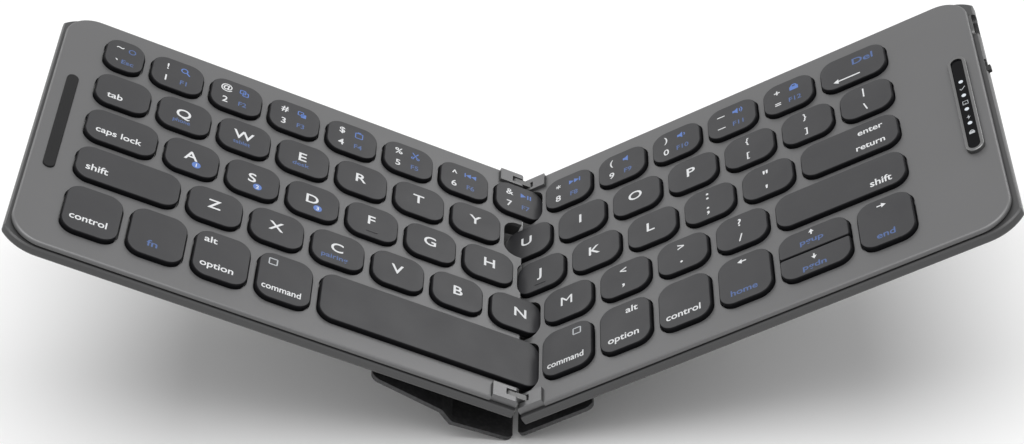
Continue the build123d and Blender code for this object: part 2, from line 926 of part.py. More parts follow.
def battery():
    """Flat battery beside the keys of the right half."""
    y_range = (battery_end_gap - rail_y, rail_y - battery_end_gap)
    with BuildPart() as cell:
        extrude(bar(right, floor_top, battery_x, y_range), amount=battery_height)
        fillet(cell.edges().filter_by(upward[right]), radius=battery_corner)
    return cell


def main_board():
    """Circuit board, cut out round the port and the switch."""
    bottom = floor_top + board_gap
    port_reach = port_size[0] / 2 + port_clearance
    housing_reach = housing_depth / 2 + port_clearance
    with BuildPart() as board:
        extrude(bar(right, bottom, board_x, board_y), amount=board_thickness)
        port_cut = bar(
            right,
            bottom,
            (port_x[0] - port_clearance, rim_length[right]),
            (port_y - port_reach, port_y + port_reach),
        )
        extrude(port_cut, amount=board_thickness, mode=Mode.SUBTRACT)
        housing_cut = bar(
            right,
            bottom,
            (housing_x[0] - port_clearance, rim_length[right]),
            (switch_y - housing_reach, switch_y + housing_reach),
        )
        extrude(housing_cut, amount=board_thickness, mode=Mode.SUBTRACT)
        post_x = (board_x[0] + housing_x[0]) / 2
        posts = [
            (post_x, board_y[0] + board_post_inset),
            (post_x, board_y[1] - board_post_inset),
        ]
        extrude(discs(right, floor_top, posts, board_gap), amount=board_gap)
    return board


def usb_port():
    """Charging socket: an open shell with a tongue inside."""
    with BuildPart() as port:
        with BuildSketch(end_plane(port_x[0], port_y, port_z)):
            RectangleRounded(*port_size, port_corner)
        extrude(amount=port_length)
        with BuildSketch(end_plane(port_x[0] + port_wall, port_y, port_z)):
            RectangleRounded(
                port_size[0] - 2 * port_wall,
                port_size[1] - 2 * port_wall,
                port_corner - port_wall,
            )
        extrude(amount=port_length, mode=Mode.SUBTRACT)
        with BuildSketch(end_plane(port_x[0], port_y, port_z)):
            Rectangle(*tongue_size)
        extrude(amount=port_length - tongue_setback)
    return port


def power_switch():
    """Slide switch: a nub through the end wall on a slider in its housing."""
    with BuildPart() as slider:
        with BuildSketch(end_plane(slider_x, nub_y, switch_z)):
            Rectangle(*switch_nub)
        extrude(amount=rim_length[right] + switch_proud - slider_x)
        outer_edges = slider.edges().group_by(across[right])[-1]
        fillet(outer_edges, radius=foot_edge)
    return slider


def switch_housing():
    """Box behind the switch nub, open towards the end wall."""
    y_range = (switch_y - housing_depth / 2, switch_y + housing_depth / 2)
    with BuildPart() as box:
        extrude(
            bar(right, floor_top, housing_x, y_range), amount=housing_top - floor_top
        )
        with BuildSketch(end_plane(slider_x - switch_fit, switch_y, switch_z)):
            Rectangle(switch_slot[0], switch_nub[1] + 2 * switch_fit)
        extrude(amount=housing_length, mode=Mode.SUBTRACT)
    return box


pieces = {}
for side, word, keys in ((left, "left", left_keys), (right, "right", right_keys)):
    pieces[word + "_top_cover"] = top_cover(side)
    pieces[word + "_bottom_cover"] = bottom_cover(side)
    pieces[word + "_key_plate"] = key_plate(side)
    pieces[word + "_membrane"] = sheet(
        side, floor_top, membrane_thickness, sheet_end[side], membrane_half_depth
    )
    pieces[word + "_domes"] = domes(side)
    pieces[word + "_hinge_blocks"] = hinge_blocks(side)
    pieces[word + "_hinge_pins"] = hinge_pins(side)
    pieces[word + "_screws"] = screws(side)
    pieces[word + "_feet"] = feet(side)
    pieces[word + "_magnet"] = magnet(side)
    for name, row in keys.items():
        pieces[name] = key_caps(side, [row])

pieces["key_arrow_up"] = split_cap(1)
pieces["key_arrow_down"] = split_cap(-1)
pieces["hinge_links"] = hinge_links()
pieces["left_hinge_cover"] = hinge_cover(left, cover_left_path, cover_left_pad)
pieces["right_hinge_cover"] = hinge_cover(right, cover_right_path, cover_right_pad)
pieces["bumper_strip"] = bumper_strip()
pieces["indicator_frame"] = indicator_frame()
pieces["indicator_window"] = indicator_window()
pieces["indicator_lights"] = indicator_lights()
pieces["battery"] = battery()
pieces["main_board"] = main_board()
pieces["usb_port"] = usb_port()
pieces["power_switch"] = power_switch()
pieces["switch_housing"] = switch_housing()

os.makedirs("parts", exist_ok=True)
for name, piece in pieces.items():
    piece.part.label = name
    export_step(piece.part, "parts/" + name + ".step")
print(len(pieces), "pieces written")
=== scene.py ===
import bpy
import json
import numpy as np
from mathutils import Matrix, Vector

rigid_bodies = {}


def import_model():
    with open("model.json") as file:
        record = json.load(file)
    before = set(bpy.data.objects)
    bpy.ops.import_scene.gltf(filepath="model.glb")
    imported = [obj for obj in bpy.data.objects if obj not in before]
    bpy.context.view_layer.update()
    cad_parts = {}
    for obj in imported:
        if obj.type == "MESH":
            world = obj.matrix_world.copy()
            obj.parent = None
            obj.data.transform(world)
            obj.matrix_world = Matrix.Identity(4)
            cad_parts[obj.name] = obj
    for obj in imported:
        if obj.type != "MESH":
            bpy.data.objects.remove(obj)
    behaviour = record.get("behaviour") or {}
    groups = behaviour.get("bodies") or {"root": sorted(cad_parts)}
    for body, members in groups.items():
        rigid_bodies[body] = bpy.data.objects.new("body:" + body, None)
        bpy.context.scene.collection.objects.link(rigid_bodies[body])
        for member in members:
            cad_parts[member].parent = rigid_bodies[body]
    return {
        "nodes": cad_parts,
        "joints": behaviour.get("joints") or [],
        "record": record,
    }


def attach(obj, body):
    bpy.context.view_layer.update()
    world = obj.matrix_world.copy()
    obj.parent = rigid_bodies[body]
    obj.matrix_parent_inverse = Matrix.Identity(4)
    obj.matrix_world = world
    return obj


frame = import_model()
nodes = frame["nodes"]
joints = {joint["name"]: joint for joint in frame["joints"]}
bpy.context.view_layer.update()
print("frame loaded:", len(nodes), "nodes")

left, right = "left", "right"
mm = 0.001
fold = {"pinHeight": -0.2}  # millimetres from the deck surface to the pins


# Deck planes: millimetres across, to the rear and along the normal, as in the CAD
def deckFrame(pressJoint):
    normal = -np.array(joints[pressJoint]["axis"], float)
    rear = np.array([0.0, 1.0, 0.0])
    across = np.cross(rear, normal)
    leftPin, rightPin = [
        np.array(joints[name]["pos_m"], float) for name in ("left_fold", "right_fold")]
    halfLink = np.linalg.norm(rightPin - leftPin) / 2
    origin = rightPin - across * halfLink - normal * fold["pinHeight"] * mm
    return {"origin": origin, "axes": np.array([across, rear, normal])}


decks = {left: deckFrame("key_space_press"), right: deckFrame("key_enter_press")}


def toModel(side, points):
    # deck millimetres to metres: the origin plus each coordinate times its axis
    deck = decks[side]
    return deck["origin"] + np.asarray(points, float) * mm @ deck["axes"]


def toDeck(side, points):
    deck = decks[side]
    return (np.asarray(points, float) - deck["origin"]) @ deck["axes"].T / mm


def nodePoints(side, name):
    mesh = nodes[name].data
    flat = np.empty(len(mesh.vertices) * 3, np.float32)
    mesh.vertices.foreach_get("co", flat)
    return toDeck(side, flat.reshape(-1, 3))


# Shader maths: an expression on wires adds its Math nodes
class Wire:
    def __init__(self, finish, socket):
        self.finish = finish
        self.socket = socket

    def join(self, operation, first, second):
        inputs = {0: first, 1: second}
        return self.finish.add("ShaderNodeMath", {"operation": operation}, inputs)

    def __add__(self, other):
        return self.join("ADD", self, other)

    def __radd__(self, other):
        return self.join("ADD", other, self)

    def __sub__(self, other):
        return self.join("SUBTRACT", self, other)

    def __rsub__(self, other):
        return self.join("SUBTRACT", other, self)

    def __mul__(self, other):
        return self.join("MULTIPLY", self, other)

    def __rmul__(self, other):
        return self.join("MULTIPLY", other, self)

    def __pow__(self, other):
        return self.join("POWER", self, other)

    def __gt__(self, other):
        return self.join("GREATER_THAN", self, other)


class NodeTree:
    def __init__(self, owner):
        owner.use_nodes = True
        self.tree = owner.node_tree
        self.tree.nodes.clear()

    def add(self, kind, settings, inputs, output=0):
        node = self.tree.nodes.new(kind)
        for name, value in settings.items():
            setattr(node, name, value)
        for name, value in inputs.items():
            self.feed(node.inputs[name], value)
        return None if output is None else Wire(self, node.outputs[output])

    def feed(self, socket, value):
        if isinstance(value, Wire):
            self.tree.links.new(value.socket, socket)
        else:
            socket.default_value = value


noiseLook = {"roughness": 0.55, "middle": 0.5}


class Finish(NodeTree):
    def __init__(self, name, **surface):
        self.material = bpy.data.materials.new(name)
        super().__init__(self.material)
        self.shader = self.add("ShaderNodeBsdfPrincipled", {}, {})
        self.set(**surface)
        self.add("ShaderNodeOutputMaterial", {}, {"Surface": self.shader}, None)
        self.place = self.add("ShaderNodeTexCoord", {}, {}, "Object")

    def set(self, **sockets):
        node = self.shader.socket.node
        for name, value in sockets.items():
            self.feed(node.inputs[name.replace("_", " ")], value)

    def stretched(self, scale):
        return self.add("ShaderNodeMapping", {}, {"Vector": self.place, "Scale": scale})

    def noise(self, scale, detail, vector=None):
        inputs = {"Vector": vector or self.place, "Scale": scale, "Detail": detail}
        inputs["Roughness"] = noiseLook["roughness"]
        return self.add("ShaderNodeTexNoise", {}, inputs, "Fac")

    def blend(self, amount, first, second):
        inputs = {0: amount, 6: (*first, 1), 7: (*second, 1)}  # the two colour sockets
        return self.add("ShaderNodeMix", {"data_type": "RGBA"}, inputs, 2)

    def bump(self, height, distance, strength):
        inputs = {"Height": height, "Distance": distance, "Strength": strength}
        self.set(Normal=self.add("ShaderNodeBump", {}, inputs, "Normal"))


def swing(look, noise):
    # moves the roughness to either side of its value as the noise leaves its middle
    return look["swing"] * (noise - noiseLook["middle"])


# Finishes. Tones are linear, grain sizes are counts per metre, depths are in metres.
metalLook = {
    "deck": {"tone": 0.122, "rough": 0.42, "metal": 0.5, "spread": 0.05},
    # the tray is the deck's aluminium at about half its tone: partly its own darker
    # finish, partly painted shade for its front-facing walls
    "tray": {"tone": 0.06, "rough": 0.38, "metal": 0.5, "spread": 0.05},
    "hinge": {"tone": 0.13, "rough": 0.34, "metal": 0.6, "spread": 0.06},
    "cloud": {"scale": 46.0, "detail": 2.0, "share": 0.65, "swing": 0.06},
    "grain": {"scale": 5200.0, "detail": 2.0, "share": 0.35, "swing": 0.12},
    "blue": {"dark": 1.01, "pale": 1.02},
    "depth": 0.000012,
    "strength": 0.5,
}


def anodised(name, part):
    # fine sandblasted grain over slow, faint clouds of tone
    look, cloudLook, grainLook = metalLook[part], metalLook["cloud"], metalLook["grain"]
    finish = Finish(name, Metallic=look["metal"])
    cloud = finish.noise(cloudLook["scale"], cloudLook["detail"])
    grain = finish.noise(grainLook["scale"], grainLook["detail"])
    tones = []
    for shade, side in (("dark", -1), ("pale", 1)):
        tone = look["tone"] * (1 + side * look["spread"])
        tones.append((tone, tone, tone * metalLook["blue"][shade]))
    mottle = cloudLook["share"] * cloud + grainLook["share"] * grain
    finish.set(Base_Color=finish.blend(mottle, *tones))
    rough = look["rough"] + swing(grainLook, grain) + swing(cloudLook, cloud)
    finish.set(Roughness=rough)
    finish.bump(grain, metalLook["depth"], metalLook["strength"])
    return finish.material


capLook = {
    "top": {
        "dark": (0.016, 0.016, 0.018), "pale": (0.029, 0.029, 0.031), "shine": 0.4},
    # the side tones are painted shade: the same plastic as the tops, darkened for the
    # shadow on the walls
    "side": {
        "dark": (0.004, 0.004, 0.005), "pale": (0.007, 0.007, 0.008), "shine": 0.1},
    "grain": {"scale": 3800.0, "detail": 2.0, "share": 0.3, "swing": 0.14},
    "cloud": {"scale": 90.0, "detail": 3.0, "share": 0.7, "swing": -0.16},
    "depth": 0.000014,
    "strength": 0.45,
    "rough": 0.46,
    "index": 1.5,
    "wallSlope": 0.9,  # a face is a wall below this cosine to the deck's normal
}


def capPlastic(name, part):
    # moulded, lightly textured plastic, a little smoother where fingers land
    look, grainLook, cloudLook = capLook[part], capLook["grain"], capLook["cloud"]
    finish = Finish(name, IOR=capLook["index"], Specular_IOR_Level=look["shine"])
    grain = finish.noise(grainLook["scale"], grainLook["detail"])
    cloud = finish.noise(cloudLook["scale"], cloudLook["detail"])
    mottle = grainLook["share"] * grain + cloudLook["share"] * cloud
    finish.set(Base_Color=finish.blend(mottle, look["dark"], look["pale"]))
    rough = capLook["rough"] + swing(grainLook, grain) + swing(cloudLook, cloud)
    finish.set(Roughness=rough)
    finish.bump(grain, capLook["depth"], capLook["strength"])
    return finish.material


# Each metal's tone, counts per metre along x, y and z, and roughness
brushedLook = {
    "steel": {"tone": 0.3, "scale": (900.0, 90.0, 900.0), "rough": 0.34},
    "link": {"tone": 0.12, "scale": (1500.0, 1500.0, 200.0), "rough": 0.42},
    "frame": {"tone": 0.17, "scale": (700.0, 60.0, 700.0), "rough": 0.3},
    "magnet": {"tone": 0.55, "scale": (300.0, 300.0, 300.0), "rough": 0.22},
    "pale": 1.08,
    "dark": 0.9,
    "detail": 3.0,
    "swing": 0.18,
    "depth": 0.000008,
    "strength": 0.4,
}


def brushed(name, part):
    # long thin streaks: noise drawn out along one axis
    look = brushedLook[part]
    finish = Finish(name, Metallic=1.0)
    streak = finish.noise(1.0, brushedLook["detail"], finish.stretched(look["scale"]))
    dark, pale = [
        (look["tone"] * brushedLook[shade],) * 3 for shade in ("dark", "pale")]
    finish.set(Base_Color=finish.blend(streak, dark, pale))
    finish.set(Roughness=look["rough"] + swing(brushedLook, streak))
    finish.bump(streak, brushedLook["depth"], brushedLook["strength"])
    return finish.material


coverLook = {
    "dark": (0.018, 0.018, 0.019),
    "pale": (0.05, 0.05, 0.052),
    "wander": {"scale": 260.0, "detail": 2.0, "share": 0.25},
    "pebble": {"scale": 950.0, "uneven": 0.9, "share": 0.8},
    "pore": {"scale": 4200.0, "detail": 2.0, "share": 0.15, "swing": 0.2},
    "creaseShadeContrast": 2,
    "depth": 0.00007,
    "strength": 0.7,
    "rough": 0.55,
    "index": 1.48,
}


def leatherette():
    # pebbled grain: rounded cells with creases between them, and pores on top; the
    # colour darkens with the grain's depth, painted shade in the creases
    wanderLook, pebbleLook, poreLook = [
        coverLook[part] for part in ("wander", "pebble", "pore")]
    finish = Finish("coverLeatherette", IOR=coverLook["index"])
    wander = finish.noise(wanderLook["scale"], wanderLook["detail"])
    inputs = {"Vector": finish.place, "Scale": pebbleLook["scale"]}
    inputs["Randomness"] = pebbleLook["uneven"]
    cells = finish.add("ShaderNodeTexVoronoi", {"feature": "F1"}, inputs, "Distance")
    pores = finish.noise(poreLook["scale"], poreLook["detail"])
    height = ((1 - cells) * pebbleLook["share"] + poreLook["share"] * pores
              + wanderLook["share"] * wander)
    # darker where the grain is low: painted shade in the creases between cells
    tone = height ** coverLook["creaseShadeContrast"]
    finish.set(Base_Color=finish.blend(tone, coverLook["dark"], coverLook["pale"]))
    finish.set(Roughness=coverLook["rough"] + swing(poreLook, pores))
    finish.bump(height, coverLook["depth"], coverLook["strength"])
    return finish.material


# Plain parts: two tones, grain, roughness, depth of the grain and strength of the gloss
softLook = {
    "strip": {
        "dark": (0.006, 0.006, 0.006), "pale": (0.011, 0.011, 0.012),
        "grain": 3000.0, "rough": 0.62, "depth": 0.00002, "shine": 0.2},
    "foot": {
        "dark": (0.012, 0.012, 0.012), "pale": (0.024, 0.024, 0.024),
        "grain": 2200.0, "rough": 0.75, "depth": 0.00002, "shine": 0.5},
    "dome": {
        "dark": (0.55, 0.56, 0.55), "pale": (0.68, 0.69, 0.67),
        "grain": 900.0, "rough": 0.5, "depth": 0.00002, "shine": 0.5},
    "film": {
        "dark": (0.42, 0.44, 0.42), "pale": (0.52, 0.54, 0.5),
        "grain": 500.0, "rough": 0.25, "depth": 0.00002, "shine": 0.5},
    "foil": {
        "dark": (0.35, 0.36, 0.37), "pale": (0.5, 0.51, 0.52),
        "grain": 260.0, "rough": 0.32, "depth": 0.00006, "shine": 0.5},
    "black": {
        "dark": (0.01, 0.01, 0.01), "pale": (0.02, 0.02, 0.02),
        "grain": 3200.0, "rough": 0.42, "depth": 0.00002, "shine": 0.25},
    "guide": {
        "dark": (0.5, 0.55, 0.6), "pale": (0.66, 0.7, 0.74),
        "grain": 1800.0, "rough": 0.2, "depth": 0.000004, "shine": 0.5},
    "cloud": {"scale": 70.0, "detail": 2.0},
    "detail": 3.0,
    "share": 0.5,
    "swing": 0.15,
    "strength": 0.5,
}


def soft(name, part):
    # one mottled material for rubber, film, foil and plain plastic
    look = softLook[part]
    finish = Finish(name, Specular_IOR_Level=look["shine"])
    speck = finish.noise(look["grain"], softLook["detail"])
    cloud = finish.noise(softLook["cloud"]["scale"], softLook["cloud"]["detail"])
    mottle = softLook["share"] * speck + softLook["share"] * cloud
    finish.set(Base_Color=finish.blend(mottle, look["dark"], look["pale"]))
    finish.set(Roughness=look["rough"] + swing(softLook, speck))
    finish.bump(speck, look["depth"], softLook["strength"])
    return finish.material


inkLook = {
    "white": (0.66, 0.67, 0.68),
    "blue": (0.06, 0.11, 0.27),
    "badge": (0.085, 0.17, 0.46),
    "grey": (0.42, 0.44, 0.46),
    "grain": {"scale": 5200.0, "detail": 2.0},
    "thin": 0.82,
    "rough": 0.5,
    "swing": 0.1,
}


def ink(name, part):
    # printed legend: nearly even colour, with tiny thin spots
    tone = inkLook[part]
    finish = Finish(name)
    speck = finish.noise(inkLook["grain"]["scale"], inkLook["grain"]["detail"])
    thin = tuple(inkLook["thin"] * channel for channel in tone)
    finish.set(Base_Color=finish.blend(speck, thin, tone))
    finish.set(Roughness=inkLook["rough"] + swing(inkLook, speck))
    return finish.material


windowLook = {
    "dark": (0.0015, 0.0015, 0.002),
    "pale": (0.004, 0.004, 0.005),
    "haze": {"scale": (420.0, 2600.0, 420.0), "detail": 2.0},
    "rough": 0.08,
    "swing": 0.1,
    "index": 1.5,
    "shine": 0.06,
}


def darkWindow():
    # smoked glossy plastic with faint wiping marks
    look = windowLook
    surface = {"IOR": look["index"], "Specular_IOR_Level": look["shine"]}
    finish = Finish("indicatorWindow", **surface)
    wiped = finish.stretched(look["haze"]["scale"])
    haze = finish.noise(1.0, look["haze"]["detail"], wiped)
    finish.set(Base_Color=finish.blend(haze, look["dark"], look["pale"]))
    finish.set(Roughness=look["rough"] + look["swing"] * haze)
    return finish.material


boardLook = {
    "mask": (0.006, 0.05, 0.02),
    "copper": (0.05, 0.14, 0.05),
    "runs": {"scale": (2400.0, 160.0, 1.0), "over": 0.58},
    "weft": {"scale": (200.0, 2100.0, 1.0), "over": 0.42},
    "rough": 0.4,
    "copperRough": 0.1,
    "depth": 0.00003,
    "strength": 0.6,
}


def circuitBoard():
    # solder mask with thin copper runs showing through in two directions
    finish = Finish("boardMask")
    lines = []
    for way in ("runs", "weft"):
        stripes = finish.noise(1.0, 0.0, finish.stretched(boardLook[way]["scale"]))
        lines.append(stripes > boardLook[way]["over"])
    copper = lines[0] * lines[1]
    finish.set(Base_Color=finish.blend(copper, boardLook["mask"], boardLook["copper"]))
    finish.set(Roughness=boardLook["rough"] - boardLook["copperRough"] * copper)
    finish.bump(copper, boardLook["depth"], boardLook["strength"])
    return finish.material


materials = {
    "deck": anodised("deckAluminium", "deck"),
    "tray": anodised("trayAluminium", "tray"),
    "hinge": anodised("hingeAluminium", "hinge"),
    "cap": capPlastic("keycapPlastic", "top"),
    # a darker copy of the cap plastic: painted shade for the caps' walls
    "capSidePaintedShade": capPlastic("keycapSidePaintedShade", "side"),
    "steel": brushed("brushedSteel", "steel"),
    "link": brushed("hingeLinkSteel", "link"),
    "frame": brushed("indicatorRim", "frame"),
    "magnet": brushed("magnetPlating", "magnet"),
    "cover": leatherette(),
    "strip": soft("bumperRubber", "strip"),
    "foot": soft("footRubber", "foot"),
    "dome": soft("domeRubber", "dome"),
    "film": soft("membraneFilm", "film"),
    "foil": soft("batteryFoil", "foil"),
    "black": soft("switchPlastic", "black"),
    "guide": soft("lightGuide", "guide"),
    "window": darkWindow(),
    "board": circuitBoard(),
    "white": ink("whiteLegend", "white"),
    "blue": ink("blueLegend", "blue"),
    "badge": ink("badgeLegend", "badge"),
    "grey": ink("greyMark", "grey"),
}

slotFinish = {
    "deck": "deck", "tray": "tray", "keycap": "cap", "hinge_metal": "hinge",
    "steel": "steel", "cover": "cover", "strip": "strip", "foot_rubber": "foot",
    "dome_rubber": "dome", "film": "film", "frame": "frame", "window": "window",
    "light": "guide", "battery": "foil", "board": "board", "magnet": "magnet",
    "black_plastic": "black",
}
# in the usb port the darker steel is partly painted shade, standing in for the shade
# inside the opening
nodeFinish = {"hinge_links": "link", "usb_port": "link"}  # darker than other steel
leftKeys = [
    joint["child"] for joint in joints.values() if joint["parent"] == "left_half"]


def paintShadeOnCapWalls(mesh, side):
    # the caps' walls and rounded edges get a darker copy of the cap plastic: painted
    # shade for the shadow that falls on them
    mesh.materials.append(materials["capSidePaintedShade"])
    slopes = np.empty(len(mesh.polygons) * 3, np.float32)
    mesh.polygons.foreach_get("normal", slopes)
    upright = slopes.reshape(-1, 3) @ decks[side]["axes"][2]
    paintedShadeWalls = (upright < capLook["wallSlope"]).astype(np.int32)
    mesh.polygons.foreach_set("material_index", paintedShadeWalls)


for entry in frame["record"]["subparts"]:
    name, slot = entry["node"], entry["material_slot"]
    mesh = nodes[name].data
    mesh.materials.clear()
    mesh.materials.append(materials[nodeFinish.get(name, slotFinish[slot])])
    if slot == "keycap":
        paintShadeOnCapWalls(mesh, left if name in leftKeys else right)

# Soft shading over the CAD's fillets: close the seams, then split the sharp edges
shading = {"seam": 0.000002, "sharpAngle": 0.5}
for node in nodes.values():
    node.data.polygons.foreach_set("use_smooth", [True] * len(node.data.polygons))
    weld = node.modifiers.new("closeSeams", "WELD")
    weld.merge_threshold = shading["seam"]
    split = node.modifiers.new("sharpEdges", "EDGE_SPLIT")
    split.split_angle = shading["sharpAngle"]


# Flat marks, as (points, faces) in units of their own size
circleCount = 28


def patch(points):
    return np.array(points, float), [list(range(len(points)))]


def gather(*shapes):
    points, faces, start = [], [], 0
    for shapePoints, shapeFaces in shapes:
        points.append(shapePoints)
        faces += [[start + i for i in face] for face in shapeFaces]
        start += len(shapePoints)
    return np.concatenate(points), faces


def box(low, high):
    return patch([low, (high[0], low[1]), high, (low[0], high[1])])


def loop(x, y, outer, inner, first=0.0, last=1.0, count=circleCount):
    # quads between two circles, from one turn fraction to another
    angle = 2 * np.pi * np.linspace(first, last, count)
    spoke = np.stack([np.cos(angle), np.sin(angle)], 1)
    points = np.concatenate([spoke * inner, spoke * outer]) + (x, y)
    faces = [[i, i + count, i + count + 1, i + 1] for i in range(count - 1)]
    return points, faces


def disc(x, y, radius):
    angle = 2 * np.pi * np.arange(circleCount) / circleCount
    return patch(np.stack([x + radius * np.cos(angle), y + radius * np.sin(angle)], 1))


def stroke(start, end, width):
    # a straight bar of the given width between two points
    start, end = np.array(start, float), np.array(end, float)
    along = (end - start) / np.linalg.norm(end - start)
    side = np.array([along[1], -along[0]]) * width / 2
    return patch([start + side, end + side, end - side, start - side])


def squareLoop(x, y, half, width):
    ways = ((-1, -1), (1, -1), (1, 1), (-1, 1))
    corners = [(x + i * half, y + j * half) for i, j in ways]
    ends = corners[1:] + corners[:1]
    return gather(*[stroke(start, end, width) for start, end in zip(corners, ends)])


def turned(shape, quarter):
    points, faces = shape
    angle = quarter * np.pi / 2
    spin = [[np.cos(angle), np.sin(angle)], [-np.sin(angle), np.cos(angle)]]
    return points @ np.array(spin), faces


def arrow(length, weight):
    # a bar as thick as weight says, and a head three times as long and four as wide
    tip, neck = -length / 2, -length / 2 + 3 * weight
    shaft = stroke((length / 2, 0), (neck, 0), weight)
    head = patch([(tip, 0), (neck, -2 * weight), (neck, 2 * weight)])
    return gather(shaft, head)


horn = gather(
    box((-0.5, -0.16), (-0.26, 0.16)),
    patch([(-0.26, -0.16), (0.04, -0.42), (0.04, 0.42), (-0.26, 0.16)]))
innerWave = loop(0, 0, 0.32, 0.22, -0.12, 0.12, 8)
outerWave = loop(0, 0, 0.54, 0.44, -0.13, 0.13, 10)
highSquare = squareLoop(-0.14, 0.12, 0.26, 0.1)
lowSquare = squareLoop(0.16, -0.14, 0.26, 0.1)
signs = {
    "circle": loop(0, 0, 0.46, 0.32),
    "find": gather(
        loop(-0.1, 0.1, 0.36, 0.24), stroke((0.14, -0.14), (0.46, -0.46), 0.15)),
    "pages": gather(highSquare, lowSquare),
    "copy": gather(highSquare, box((-0.1, -0.42), (0.42, 0.12))),
    "paste": gather(
        squareLoop(0, -0.06, 0.36, 0.1), stroke((-0.18, 0.4), (0.18, 0.4), 0.18)),
    "cut": gather(
        stroke((-0.3, 0.46), (0.22, -0.3), 0.11),
        stroke((0.3, 0.46), (-0.22, -0.3), 0.11),
        loop(-0.28, -0.34, 0.17, 0.08), loop(0.28, -0.34, 0.17, 0.08)),
    "back": gather(
        stroke((-0.62, -0.3), (-0.62, 0.3), 0.12),
        patch([(-0.54, 0), (-0.02, -0.3), (-0.02, 0.3)]),
        patch([(0.02, 0), (0.54, -0.3), (0.54, 0.3)])),
    "play": gather(
        patch([(-0.56, -0.32), (0.02, 0), (-0.56, 0.32)]),
        stroke((0.2, -0.3), (0.2, 0.3), 0.14), stroke((0.48, -0.3), (0.48, 0.3), 0.14)),
    "next": gather(
        patch([(-0.54, -0.3), (-0.02, 0), (-0.54, 0.3)]),
        patch([(0.02, -0.3), (0.54, 0), (0.02, 0.3)]),
        stroke((0.62, -0.3), (0.62, 0.3), 0.12)),
    "quiet": horn,
    "softer": gather(horn, innerWave),
    "louder": gather(horn, innerWave, outerWave),
    "lock": gather(
        box((-0.44, -0.44), (0.44, 0.08)), loop(0, 0.08, 0.34, 0.18, 0.0, 0.5, 14)),
    "dot": disc(0, 0, 0.5),
    "dash": stroke((-0.5, 0), (0.5, 0), 0.16),
    "box": squareLoop(0, 0, 0.4, 0.13),
    "arrowLeft": arrow(1.25, 0.21),
    "arrowRight": turned(arrow(1.25, 0.21), 2),
    "arrowUp": turned(arrow(1.15, 0.22), -1),
    "arrowDown": turned(arrow(1.15, 0.22), 1),
    "longArrow": arrow(4.4, 0.28),
    "tick": gather(
        stroke((-0.4, 0.0), (-0.1, -0.34), 0.14),
        stroke((-0.14, -0.3), (0.44, 0.4), 0.14)),
    "bolt": patch([
        (0.12, 0.5), (-0.3, -0.06), (-0.02, -0.06),
        (-0.12, -0.5), (0.3, 0.08), (0.02, 0.08)]),
    "letterBox": gather(
        squareLoop(0, 0, 0.4, 0.1), stroke((-0.16, -0.2), (0.16, -0.2), 0.1)),
}

# How far the outlines grow, in letter sizes: a narrow notch, as in M, would close
fontLook = {"bolder": 0.014, "notched": {"M": 0.0}, "steps": 4}
glyphStore = {}


def glyphs(text):
    # the font's own outlines, filled, at size 1 with the baseline at 0
    if text not in glyphStore:
        curve = bpy.data.curves.new("legendText", "FONT")
        curve.body, curve.size, curve.resolution_u = text, 1.0, fontLook["steps"]
        curve.offset = fontLook["notched"].get(text, fontLook["bolder"])
        holder = bpy.data.objects.new("legendText", curve)
        bpy.context.scene.collection.objects.link(holder)
        graph = bpy.context.evaluated_depsgraph_get()
        mesh = bpy.data.meshes.new_from_object(holder.evaluated_get(graph))
        flat = np.empty(len(mesh.vertices) * 3, np.float32)
        mesh.vertices.foreach_get("co", flat)
        faces = [list(face.vertices) for face in mesh.polygons]
        glyphStore[text] = (flat.reshape(-1, 3)[:, :2].astype(float), faces)
        bpy.data.objects.remove(holder)
        bpy.data.meshes.remove(mesh)
        bpy.data.curves.remove(curve)
    return glyphStore[text]


capitalHeight = np.ptp(glyphs("H")[0][:, 1])


def word(text, x, y, tall, wide=None, colour="white", hold="middle", lift=0.0):
    # hold says where x is counted from: the cap's middle, left edge or right edge
    points, faces = glyphs(text)
    scale = np.array([1.0, 1.0]) * tall / capitalHeight
    if wide:
        scale[0] = wide / np.ptp(points[:, 0])
    points = points * scale
    low, high = points.min(0), points.max(0)
    centre = [(low[0] + high[0]) / 2, tall / 2]
    if not any(letter.isalnum() for letter in text):
        centre[1] = (low[1] + high[1]) / 2
    if hold == "left":
        centre[0] = low[0]
    if hold == "right":
        centre[0] = high[0]
    return {"points": points - centre, "faces": faces, "at": (x, y), "hold": hold,
            "colour": colour, "lift": lift}


def sign(name, x, y, size, colour="blue"):
    points, faces = signs[name]
    return {"points": points * size, "faces": faces, "at": (x, y), "hold": "middle",
            "colour": colour, "lift": 0.0}


# Legends of each key, in millimetres from the middle of its cap
letterLook = {"tall": 3.4, "wider": 1.12, "x": -0.35, "y": 0.5}
layoutLook = {"x": -0.6, "y": -2.75, "tall": 1.5, "wide": 4.8}
channelLook = {"x": 1.4, "y": -2.6, "size": 2.4, "tall": 1.4, "lift": 0.006}
numberLook = {
    "tall": 2.45, "x": -3.1, "y": 2.55,
    "signX": 1.9, "signSize": 2.9, "underTall": 1.85,
}
pairLook = {
    "tall": {"[]{}": 2.2, ":;'\".,": 3.6, "<>|\\?/": 2.7},
    "x": -0.35, "up": 3.0, "down": -3.0, "dash": 2.3,
}


def letterKey(letter, *more, shift=0.0):
    mark = word(letter, letterLook["x"] + shift, letterLook["y"], letterLook["tall"])
    mark["points"][:, 0] *= letterLook["wider"]
    return [mark, *more]


def layoutKey(letter, device):
    look = layoutLook
    under = word(device, look["x"], look["y"], look["tall"], look["wide"], "blue")
    return letterKey(letter, under)


def channelKey(letter, number):
    look = channelLook
    badge = sign("dot", look["x"], look["y"], look["size"], "badge")
    digit = word(number, look["x"], look["y"], look["tall"], lift=look["lift"])
    return letterKey(letter, badge, digit)


def plainMark(text, x, y, tall):
    if text in "-_":
        return sign("dash", x, y, pairLook["dash"], "white")
    return word(text, x, y, tall)


